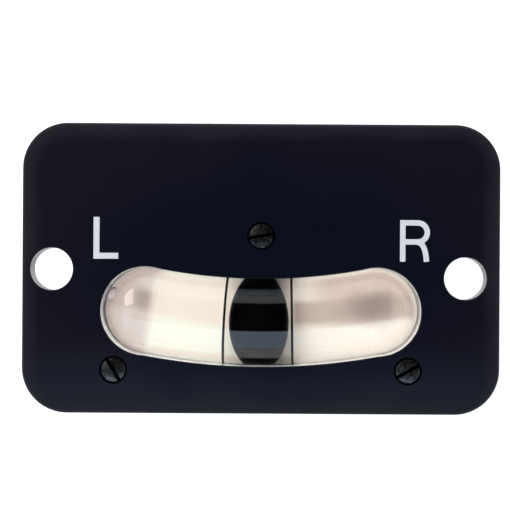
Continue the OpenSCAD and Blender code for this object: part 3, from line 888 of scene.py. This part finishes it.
def legLine():
    # a cubic curve through its two end points, pulled by the two between
    a, b, c, d = (np.array(p) for p in marks["leg"])
    t = np.linspace(0, 1, marks["legPoints"])[:, None]
    return (1 - t) ** 3 * a + 3 * t * (1 - t) ** 2 * b + 3 * t ** 2 * (1 - t) * c + t ** 3 * d


def makeMark(name, width, lines):
    strokes = [makePiece(f"{name}{k}", [strokeSolid(line, width)], [finishes["mark"]],
                         smooth=False)
               for k, line in enumerate(lines)]
    whole = strokes[0]
    for other in strokes[1:]:
        join = whole.modifiers.new("join", "BOOLEAN")
        join.operation = "UNION"
        join.object = other
        join.solver = "EXACT"
    bpy.context.view_layer.update()
    joined = whole.evaluated_get(bpy.context.evaluated_depsgraph_get())
    made = bpy.data.meshes.new_from_object(joined)
    whole.modifiers.clear()
    whole.data = made
    whole.name = made.name = name
    for other in strokes[1:]:
        bpy.data.objects.remove(other)


makeMark("sideMarkLeft", marks["leftStroke"],
         [straight(marks["leftStem"]), straight(marks["leftFoot"])])
makeMark("sideMarkRight", marks["rightStroke"],
         [straight(marks["rightStem"]), bowlLine(), legLine()])
print("side marks made")


# Stage: a pale floor that curves up into a backdrop

stageSize = {"floor": -0.045, "front": -0.086, "bend": 0.16, "wall": 0.30, "top": 0.42,
             "half": 0.5, "bendRows": 24, "columns": 9}
card = {
    "color": (0.80, 0.82, 0.84), "glow": (0.56, 0.60, 0.62), "mirroredGlow": (0.30, 0.30, 0.30),
    "frontColor": (0.60, 0.70, 0.86), "mirroredFrontGlow": (0.05, 0.08, 0.12),
    "frontSpan": (0.06, 0.0), "rough": 0.9, "specular": 0.1,
}


def stageMaterial():
    # A glow lifts it to white for the eye and is dimmer in mirrors and glass, and it keeps
    # soft shadows. The part in front of the object is cooler.
    material, tree, shader = newFinish("paleCard", rough=card["rough"],
                                       specular=card["specular"])
    front = remap(tree, apart(tree, pointOn(tree))[1], *card["frontSpan"], smooth=True)
    feed(tree, shader, "color", between(tree, front, card["color"], card["frontColor"]))
    path = addNode(tree, "LightPath").outputs
    mirrored = inMirrorsAndGlass(tree, path)
    cool = between(tree, front, card["mirroredGlow"], card["mirroredFrontGlow"])
    seen = combine(tree, "MAXIMUM", path["Is Camera Ray"], mirrored)
    glow = addNode(tree, "Emission", {"Color": between(tree, mirrored, card["glow"], cool),
                                      "Strength": seen})
    setSurface(tree, addNode(tree, "AddShader", {0: shader.outputs[0], 1: glow.outputs[0]}))
    return material


def makeStage():
    # one profile, floor then quarter circle then wall, carried sideways
    turn = np.linspace(-np.pi / 2, 0, stageSize["bendRows"])
    radius = stageSize["wall"] - stageSize["bend"]
    curve = np.stack([stageSize["bend"] + radius * np.cos(turn),
                      stageSize["floor"] + radius + radius * np.sin(turn)], axis=1)
    line = np.vstack([(stageSize["front"], stageSize["floor"]), curve,
                      (stageSize["wall"], stageSize["top"])])
    columns = stageSize["columns"]
    grid = np.empty((len(line), columns, 3))
    grid[..., 0] = np.linspace(-stageSize["half"], stageSize["half"], columns)
    grid[..., 1:] = line[:, None]
    index = np.arange(len(line) * columns).reshape(len(line), columns)
    quads = np.stack([index[:-1, :-1], index[:-1, 1:], index[1:, 1:], index[1:, :-1]], axis=-1)
    mesh = bpy.data.meshes.new("stage")
    mesh.from_pydata(grid.reshape(-1, 3).tolist(), [], quads.reshape(-1, 4).tolist())
    mesh.polygons.foreach_set("use_smooth", [True] * len(mesh.polygons))
    mesh.materials.append(stageMaterial())
    stage = bpy.data.objects.new("stage", mesh)
    bpy.context.scene.collection.objects.link(stage)


makeStage()


# Light: a soft front light a little to the left, a dim overhead one, and a third up at the
# left that shines in the tube's left end and alone shows in mirrors. Places and sizes are
# in metres, and roll is in degrees.

lights = {
    "front": {"place": (-0.055, -0.42, 0.03), "aim": (0, 0.003, -0.005),
              "size": (0.30, 0.16), "roll": 0, "watts": 2.05, "inMirrors": False},
    "overhead": {"place": (0, -0.055, 0.15), "aim": (0, -0.0549, 0),
                 "size": (0.34, 0.05), "roll": 0, "watts": 0.36, "inMirrors": False},
    "strip": {"place": (-0.285, -0.18, 0.162), "aim": (-0.0156, -0.002, -0.0035),
              "size": (0.15, 0.235), "roll": 27, "watts": 0.29, "inMirrors": True},
}


def addAreaLight(name, spec):
    lamp = bpy.data.lights.new(name, "AREA")
    lamp.shape = "RECTANGLE"
    lamp.size, lamp.size_y = spec["size"]
    lamp.energy = spec["watts"]
    made = bpy.data.objects.new(name, lamp)
    made.location = spec["place"]
    facing = (Vector(spec["aim"]) - Vector(spec["place"])).to_track_quat("-Z", "Y")
    rolled = facing @ Quaternion((0, 0, 1), math.radians(spec["roll"]))
    made.rotation_euler = rolled.to_euler()
    made.visible_camera = False
    made.visible_glossy = spec["inMirrors"]
    made.visible_transmission = False
    bpy.context.scene.collection.objects.link(made)


for name, spec in lights.items():
    addAreaLight(name, spec)


# Around the stage all is white to the eye and evenly dim for soft light. Mirrors and glass
# see a dark room in front, and pale light above it, at its sides and behind, with a bright
# patch overhead. The spans are parts of a direction of length 1.

surround = {"eye": 1.0, "soft": 0.2, "dark": 0.003, "pale": 0.5, "bright": 1.3,
            "highSpan": (0.70, 0.76), "topSpan": (0.93, 0.97), "sideSpan": (0.60, 0.75),
            "behindSpan": (-0.1, 0.3)}


def makeWorld():
    world = bpy.data.worlds.new("surround")
    world.use_nodes = True
    tree = world.node_tree
    path = addNode(tree, "LightPath").outputs
    x, y, z = apart(tree, addNode(tree, "TexCoord").outputs["Generated"])
    above = remap(tree, z, *surround["highSpan"], smooth=True)
    aside = remap(tree, combine(tree, "ABSOLUTE", x), *surround["sideSpan"], smooth=True)
    behind = remap(tree, y, *surround["behindSpan"], smooth=True)
    around = combine(tree, "MAXIMUM", combine(tree, "MAXIMUM", above, aside), behind)
    room = remap(tree, around, 0, 1, surround["dark"], surround["pale"])
    top = remap(tree, z, *surround["topSpan"], smooth=True)
    room = mixValue(tree, top, room, surround["bright"])
    light = mixValue(tree, inMirrorsAndGlass(tree, path), surround["soft"], room)
    light = mixValue(tree, path["Is Camera Ray"], light, surround["eye"])
    tree.links.new(light, tree.nodes["Background"].inputs["Strength"])
    tree.nodes["Background"].inputs["Color"].default_value = (1, 1, 1, 1)
    bpy.context.scene.world = world


makeWorld()


# Camera: it looks straight at the plate, from a little right of its middle, as the wall of
# the left hole shows

viewpoint = {
    "eye": Vector((3.2 * mm, -127.5 * mm, -0.3 * mm)),
    "frameWidth": 59.92 * mm,               # of the plate's face that the picture takes in
    "centre": (-0.59 * mm, 1.52 * mm),      # x and z of the picture's middle on the plate
    "roll": math.radians(0.35),
    "sensor": 36, "clip": (0.01, 10),
}


def makeCamera():
    lens = bpy.data.cameras.new("camera")
    made = bpy.data.objects.new("camera", lens)
    bpy.context.scene.collection.objects.link(made)
    eye, width = viewpoint["eye"], viewpoint["frameWidth"]
    made.location = eye
    made.rotation_mode = "QUATERNION"
    level = Vector((0, 1, 0)).to_track_quat("-Z", "Y")
    made.rotation_quaternion = level @ Quaternion((0, 0, 1), viewpoint["roll"])
    lens.sensor_width = viewpoint["sensor"]
    lens.lens = lens.sensor_width * (plateFace - eye.y) / width
    lens.shift_x = (viewpoint["centre"][0] - eye.x) / width
    lens.shift_y = (viewpoint["centre"][1] - eye.z) / width
    lens.clip_start, lens.clip_end = viewpoint["clip"]
    bpy.context.scene.camera = made


makeCamera()
bpy.context.scene.view_settings.view_transform = "Standard"
print("stage, lights and camera set")
